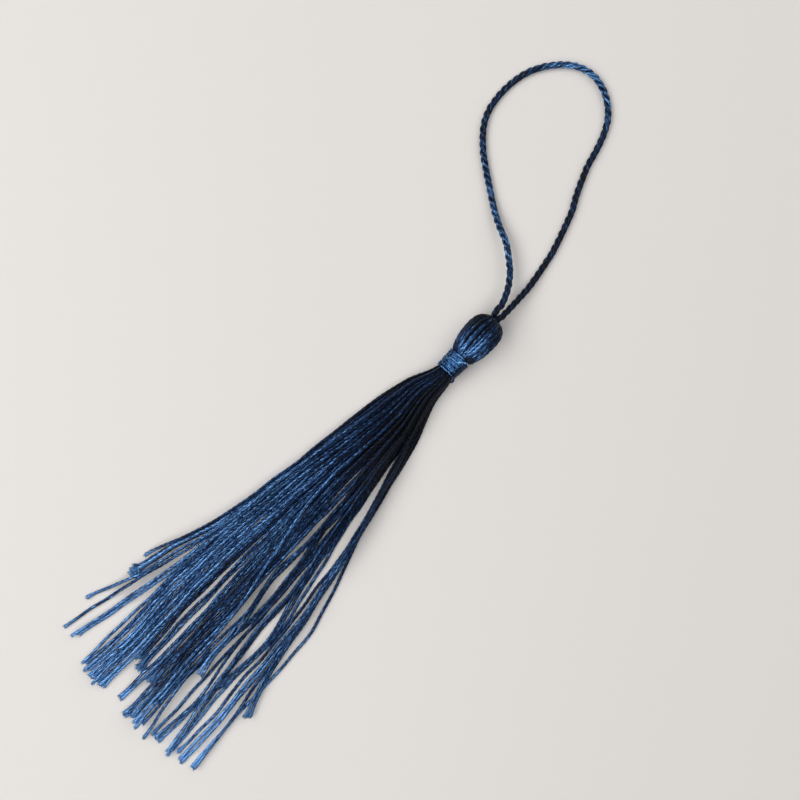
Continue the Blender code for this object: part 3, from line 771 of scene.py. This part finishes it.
def strand_line(strand, chance):
    """A cut end's line from inside the binding to its tip, with the waves that folding left in it."""
    middle = SHOULDERS[0][1]
    across_knots = list(strand.knots)
    height_knots = list(zip(strand.downs, strand.heights))
    for down, wide, high in reversed(ROOTS):
        across_knots.insert(0, (down, (strand.across[0] - middle) * wide))
        height = axis_height(-down) + (strand.heights[0] - SKIRT_MIDDLE_HEIGHT) * high
        height_knots.insert(0, (down, height))
    start = ROOTS[0][0]
    downs = np.linspace(start, strand.tip_down, round((strand.tip_down - start) / YARN_STEP) + 1)
    across = np.array([smooth_value(across_knots, down) for down in downs])
    heights = np.array([smooth_value(height_knots, down) for down in downs])
    loose = blend(*WAVES_GROW, downs)
    lift, lift_rate = WAVE_LIFT
    for size, length in YARN_WAVES:
        wave = TURN * downs / (length * chance.uniform(*WAVE_LENGTHS)) + chance.uniform(0.0, ANY_PHASE)
        across += size * loose * np.sin(wave)
        heights += lift * size * loose * np.cos(lift_rate * wave)
    return np.stack((across, -downs, np.maximum(heights, YARN_RADIUS)), axis=-1), downs


def yarn_tone(strand, downs, chance):
    """How light a yarn of the skirt looks, from the neck to its tip: a random tone, plus painted light and
    shade by its place in the skirt.
    """
    in_neck, further_down = YARN_TONE_SHARES
    tone = chance.uniform(-YARN_TONES, YARN_TONES) * (in_neck + further_down * blend(*YARNS_DIFFER, downs))
    if strand.bright:
        # painted light on the yarn that lies on top
        tone += TOP_YARN_PAINTED_LIGHT * (1.0 - blend(*BRIGHT_YARN_FADES, downs))
    else:
        # painted light on the skirt's left side and painted shade on its right
        tone += read_off(SIDE_PAINTED_SHADING, strand.waypoints[0][1]) * (1.0 - blend(*SIDES_EVEN, downs))
    # each lock's painted light and shade, and the painted shade and light down the skirt
    tone += strand.tone * blend(*LOCKS_DIFFER, downs) + read_off(SKIRT_PAINTED_SHADING, downs)
    return tone


def make_skirt(material):
    """The cut ends of the yarns below the neck, in three pieces from left to right, and their fibres."""
    strands = fan_out()
    lay_down(strands)
    chance = random.Random(SKIRT_SEED)
    fibre_chance = random.Random(FIBRE_SEED)
    skeins = [Skein() for _ in SKIRT_PIECES]
    ends = Skein()
    for rank, strand in enumerate(strands):
        line, downs = strand_line(strand, chance)
        tone = yarn_tone(strand, downs, chance)
        from_tip = strand.tip_down - downs
        end = chance.uniform(*TIP_PALENESS) * (1.0 - blend(0.0, TIP_PALES_OVER, from_tip))
        opening = TIP_OPENS + TUFT_OPENS * strand.fray
        opened = 1.0 + opening * (1.0 - blend(0.0, TIP_OPENS_OVER, from_tip))
        phase = chance.uniform(0.0, TURN)
        skein = skeins[rank * len(skeins) // len(strands)]
        for ply_line in add_yarn(skein, line, phase, tone, read_off(YARN_SNUG, downs), opened, end):
            add_frayed_end(ends, ply_line, tone[-1], strand.fray, fibre_chance)
    for name, skein in zip(SKIRT_PIECES, skeins):
        skein.make(name, material, "tassel_yarns", "navy_yarn")
    ends.make("cut_ends", material, "tassel_yarns", "navy_yarn")


def add_frayed_end(skein, ply_line, tone, fray, chance):
    """The fibres at a ply's cut end, let go in a small brush or in a tuft."""
    count, shortest, longest, least, most, darker, paleness = (
        neat + fray * (burst - neat) for neat, burst in (
            END_FIBRES, END_STOPS_SHORT, END_PASSES, END_SPREADS_LEAST, END_SPREADS_MOST,
            END_TONES, END_PALENESS,
        )
    )
    count = round(count)
    start = ply_line[-FIBRE_STARTS]
    ahead = ply_line[-1] - start
    length = np.linalg.norm(ahead)
    ahead /= length
    side = np.cross(ahead, UP)
    t = np.linspace(0.0, 1.0, FIBRE_POINTS)[:, None]
    radius = np.linspace(*FIBRE_RADII, FIBRE_POINTS)
    for k in range(count):
        angle = TURN * (k + chance.random()) / count
        out = math.cos(angle) * side + math.sin(angle) * UP
        spread = chance.uniform(least, most)
        reach = length + chance.uniform(shortest, longest) - END_ROUNDING * spread ** 2
        line = start + ahead * reach * t + out * (FIBRE_OFFSET + spread * t ** 2)
        line[:, 2] = np.maximum(line[:, 2], FIBRE_LOWEST)
        skein.add(line, radius, FIBRE_SIDES, tone + darker, paleness + FIBRE_TIP_PALER * t[:, 0])


# Head

def head_line(turn, chance, inset=0.0):
    """A folded yarn's line over the egg, from inside the binding to the hole in its top."""
    outline = smooth_route([(y, radius, 0.0) for y, radius in HEAD_OUTLINE], YARN_STEP)
    along = lengths_along(outline) / lengths_along(outline)[-1]
    y, radius = outline[:, 0], outline[:, 1] - YARN_RADIUS - inset
    radius = radius - chance.choice(NECK_DEPTHS) * (1.0 - blend(*NECK_CROWDED, along))
    radius = radius - chance.choice(TOP_DEPTHS) * blend(*TOP_CROWDED, along)
    radius = np.maximum(radius, LEAST_HEAD_RADIUS)
    bow, wave = (chance.uniform(-size, size) for size in HEAD_SWAYS)
    sway = bow * np.sin(math.pi * along) + wave * np.cos(HEAD_WAVE_RATE * along)
    angle = turn + sway
    height = np.maximum(axis_height(y) + radius * np.sin(angle), YARN_RADIUS)
    start, stop, lean = HEAD_LEAN
    return np.stack((radius * np.cos(angle) + lean * blend(start, stop, y), y, height), axis=-1)


def make_head(material):
    """The folded yarns side by side round the egg, and what fills it behind them."""
    chance = random.Random(HEAD_SEED)
    head = Skein()
    for k in range(HEAD_YARNS):
        turn = TURN * (k + chance.uniform(-HEAD_STRAY, HEAD_STRAY)) / HEAD_YARNS
        line = head_line(turn, chance)
        y, right = line[:, 1], math.cos(turn)
        # A random tone, with painted light on the lower half and the front, and painted shade over the top,
        # the sides and the lower right.
        tone = chance.uniform(-HEAD_YARN_TONES, HEAD_YARN_TONES) + read_off(HEAD_PAINTED_SHADING, y)
        tone += HEAD_FRONT_PAINTED_LIGHT - painted_side_shade(HEAD_LEFT, -right) - painted_side_shade(HEAD_RIGHT, right)
        tone -= painted_side_shade(HEAD_LOWER_RIGHT, right) * (1.0 - blend(*HEAD_LOWER_ENDS, y))
        add_yarn(head, line, chance.uniform(0.0, ANY_PHASE), tone)
    head.make("head_yarns", material, "tassel_yarns", "navy_yarn")
    filling = Skein()
    for k in range(FILLING_YARNS):
        line = head_line(TURN * (k + 0.5) / FILLING_YARNS, chance, FILLING_INSET)
        # the filling is drawn dark, as painted shade
        filling.add(line, FILLING_RADIUS, FILLING_SIDES, HIDDEN_PAINTED_SHADE)
    filling.make("head_filling", material, "tassel_yarns", "navy_yarn")


# Binding

def make_binding(material):
    """The thread wound down the neck, with its two ends and the layer under it."""
    chance = random.Random(BINDING_SEED)
    count = round(BINDING_TURNS * TURN * BINDING_MIDDLE_RADIUS / BINDING_STEP)
    share = np.linspace(0.0, 1.0, count)
    y = BINDING_TOP[0] + (BINDING_BOTTOM[0] - BINDING_TOP[0]) * share
    radius = BINDING_TOP[1] + (BINDING_BOTTOM[1] - BINDING_TOP[1]) * share
    radius = radius - BINDING_PLY_RADIUS - BINDING_PLY_OFFSET
    angle = BINDING_STARTS + TURN * BINDING_TURNS * share
    across, up = radius * np.cos(angle), radius * np.sin(angle)
    drift = sum(size * np.sin(rate * angle + start) for size, rate, start in BINDING_DRIFTS)
    line = np.stack((across, y + drift, axis_height(y) + up), axis=-1)
    right = np.cos(angle)
    # painted light on the binding's front and painted shade on its sides
    tone = BINDING_FRONT_PAINTED_LIGHT - painted_side_shade(BINDING_RIGHT, right) - painted_side_shade(BINDING_LEFT, -right)
    ends = [
        smooth_route([(x, end_y, axis_height(end_y) + height) for x, end_y, height in points], BINDING_STEP)
        for points in THREAD_ENDS
    ]
    binding = Skein()
    for phase in (0.0, math.pi):
        # the thread ends carry their painted highlight and painted shade
        tones = (tone + chance.uniform(*BINDING_PLY_TONES), *THREAD_END_PAINTED_SHADING)
        for path, path_tone in zip((line, *ends), tones):
            ply_line = wind(path, BINDING_PLY_OFFSET, BINDING_LAY, phase, TWIST_Z)
            binding.add(ply_line, BINDING_PLY_RADIUS, BINDING_PLY_SIDES, path_tone)
    half_turn = 0.5 * (BINDING_TOP[0] - BINDING_BOTTOM[0]) / BINDING_TURNS
    under = np.stack((
        UNDER_THREAD * across, y + drift + half_turn, axis_height(y) + UNDER_THREAD * up,
    ), axis=-1)
    # the layer under the thread is drawn dark, as painted shade
    binding.add(under[::2], UNDER_THREAD_RADIUS, UNDER_THREAD_SIDES, HIDDEN_PAINTED_SHADE)
    binding.make("neck_thread", material, "neck_binding", "binding_thread")


# Surface and lights

def make_floor():
    """A painted board, rolled matt: it has no shine and shows only soft shadows."""
    mesh = bpy.data.meshes.new("floor")
    turns = [TURN * k / FLOOR_SIDES for k in range(FLOOR_SIDES)]
    rim = [(FLOOR_RADIUS * math.cos(turn), FLOOR_RADIUS * math.sin(turn), 0.0) for turn in turns]
    mesh.from_pydata(rim, [], [range(FLOOR_SIDES)])
    material = bpy.data.materials.new("matt_painted_board")
    material.use_nodes = True
    shader = material.node_tree.nodes["Principled BSDF"]
    shader.inputs["Base Color"].default_value = colour(FLOOR_COLOUR)
    shader.inputs["Roughness"].default_value = FLOOR_ROUGHNESS
    mesh.materials.append(material)
    floor = bpy.data.objects.new("floor", mesh)
    bpy.context.scene.collection.objects.link(floor)


def add_light(name, place, width, height, power, tint):
    """A soft light, turned to the tassel."""
    data = bpy.data.lights.new(name, "AREA")
    data.shape = "RECTANGLE"
    data.size = width
    data.size_y = height
    data.energy = power
    data.color = colour(tint)[:3]
    lamp = bpy.data.objects.new(name, data)
    bpy.context.scene.collection.objects.link(lamp)
    lamp.location = place
    lamp.rotation_euler = (Vector(LIGHTS_AIM) - Vector(place)).to_track_quat("-Z", "Y").to_euler()


def light_the_room():
    """Soft light from a window, from over the tassel and from the far wall, in a pale room."""
    bpy.context.scene.view_settings.view_transform = "Standard"
    world = bpy.data.worlds.new("room")
    bpy.context.scene.world = world
    world.use_nodes = True
    tree = world.node_tree
    background = tree.nodes["Background"]
    background.inputs["Color"].default_value = colour(ROOM_COLOUR)
    # The room past the floor's edge looks as pale as the floor, but lights the tassel only faintly.
    seen = add_node(tree, "ShaderNodeLightPath", {}, {}).outputs["Is Camera Ray"]
    strength = add_node(
        tree, "ShaderNodeMapRange", {}, {"Value": seen, "To Min": ROOM_LIGHTS, "To Max": ROOM_LOOKS},
    ).outputs["Result"]
    tree.links.new(strength, background.inputs["Strength"])
    for light in LIGHTS:
        add_light(*light)


set_camera()
# The cord's yarns are laid tight. Where the cord is painted in shade it is drawn near black, and where it is
# painted lighter it is drawn pale.
make_hanging_cord(twisted_thread("laid_viscose_cord", "#1e1d1f", "#1b3860", "#78b2ee", 0.30))
# The yarn of the head and the skirt is navy with a blue lustre; where it is painted in shade it is drawn
# nearly black.
yarn = twisted_thread("plied_viscose_yarn", "#1b1c20", "#1c3e70", "#77aeea", 0.30)
make_skirt(yarn)
make_head(yarn)
# The binding's thread is finer and drawn tight, which makes it the smoothest and the brightest.
make_binding(twisted_thread("wound_viscose_thread", "#1b1c20", "#1f4a80", "#7cb8f4", 0.28))
make_floor()
light_the_room()
